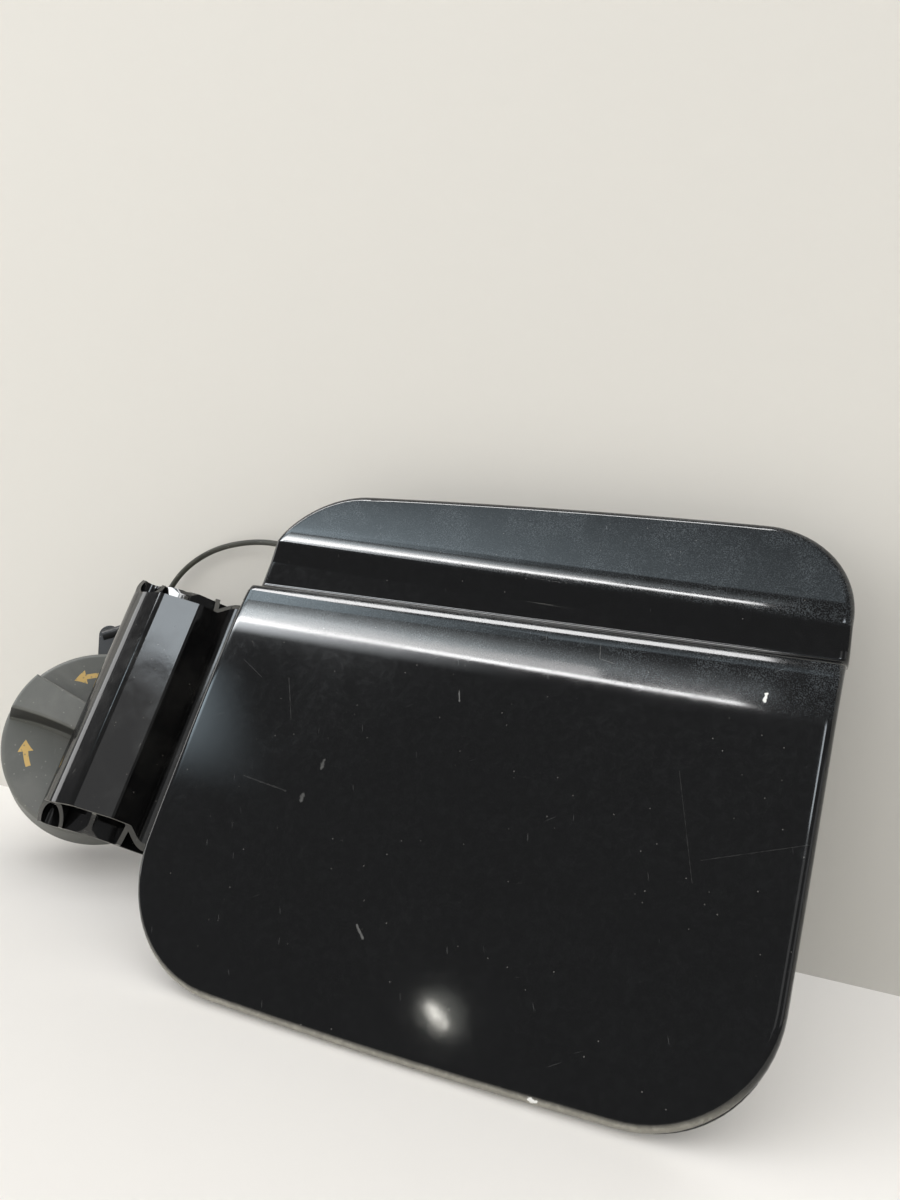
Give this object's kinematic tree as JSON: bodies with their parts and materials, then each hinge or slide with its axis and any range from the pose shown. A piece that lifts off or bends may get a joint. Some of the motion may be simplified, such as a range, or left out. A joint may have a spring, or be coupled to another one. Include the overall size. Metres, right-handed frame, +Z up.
{
  "type": "car fuel door",
  "caption": "Pressed steel fuel filler door with a tapering cross groove, a moulded gooseneck hinge arm, and a filler cap with a grip bar on a thin tether.",
  "frame": {"origin": "middle of the hinge bore in the arm's barrel", "axes": "+Z up along the hinge bore, +X towards the door's free edge, +Y into the car, so the door's painted face looks along -Y"},
  "size_m": [0.2966, 0.0816, 0.1688],
  "materials": {
    "door_paint": "gloss black paint, scratched and dusty",
    "inner_paint": "satin black paint",
    "arm_plastic": "gloss black moulded plastic",
    "zinc_steel": "zinc plated",
    "black_rubber": "matte",
    "black_plastic": "matte",
    "tether_plastic": "satin",
    "cap_plastic": "fine grained matte grey",
    "white_plastic": "natural",
    "brass": "turned",
    "spring_steel": "bright wire"
  },
  "bodies": {
    "door": {"outer_panel": "door_paint", "inner_panel": "inner_paint", "hinge_arm": "arm_plastic", "arm_rivets": "zinc_steel", "latch_striker": "zinc_steel", "striker_rivets": "zinc_steel", "upper_bump_stop": "black_rubber", "lower_bump_stop": "black_rubber", "tether_anchor": "black_plastic", "tether": "tether_plastic", "tether_ring": "black_plastic"},
    "closure": {"cap_closure": "black_plastic", "cap_gasket": "black_rubber", "ratchet_ring": "white_plastic", "valve_seat": "white_plastic", "pressure_spring": "spring_steel"},
    "cover": {"cap_cover": "cap_plastic"},
    "pressure_poppet": {"pressure_valve": "white_plastic", "vacuum_spring": "spring_steel"},
    "vacuum_poppet": {"vacuum_valve": "brass"}
  },
  "joints": [
    {"name": "closure_turn", "type": "hinge", "parent": "door", "child": "closure", "pos_m": [-0.0105, 0.0185, -0.011], "axis": [0.5215, -0.851, 0.061], "continuous": true},
    {"name": "cover_ratchet", "type": "hinge", "parent": "closure", "child": "cover", "pos_m": [-0.0105, 0.0185, -0.011], "axis": [0.5215, -0.851, 0.061], "continuous": true},
    {"name": "pressure_lift", "type": "slide", "parent": "closure", "child": "pressure_poppet", "axis": [0.5215, -0.851, 0.061], "range_m": [0, 0.0015], "stiffness_N_per_m": 800, "springref_m": -0.002, "deforming": ["pressure_spring"]},
    {"name": "vacuum_drop", "type": "slide", "parent": "pressure_poppet", "child": "vacuum_poppet", "axis": [-0.5215, 0.851, -0.061], "range_m": [0, 0.0012], "stiffness_N_per_m": 150, "springref_m": -0.002, "deforming": ["vacuum_spring"]}
  ]
}
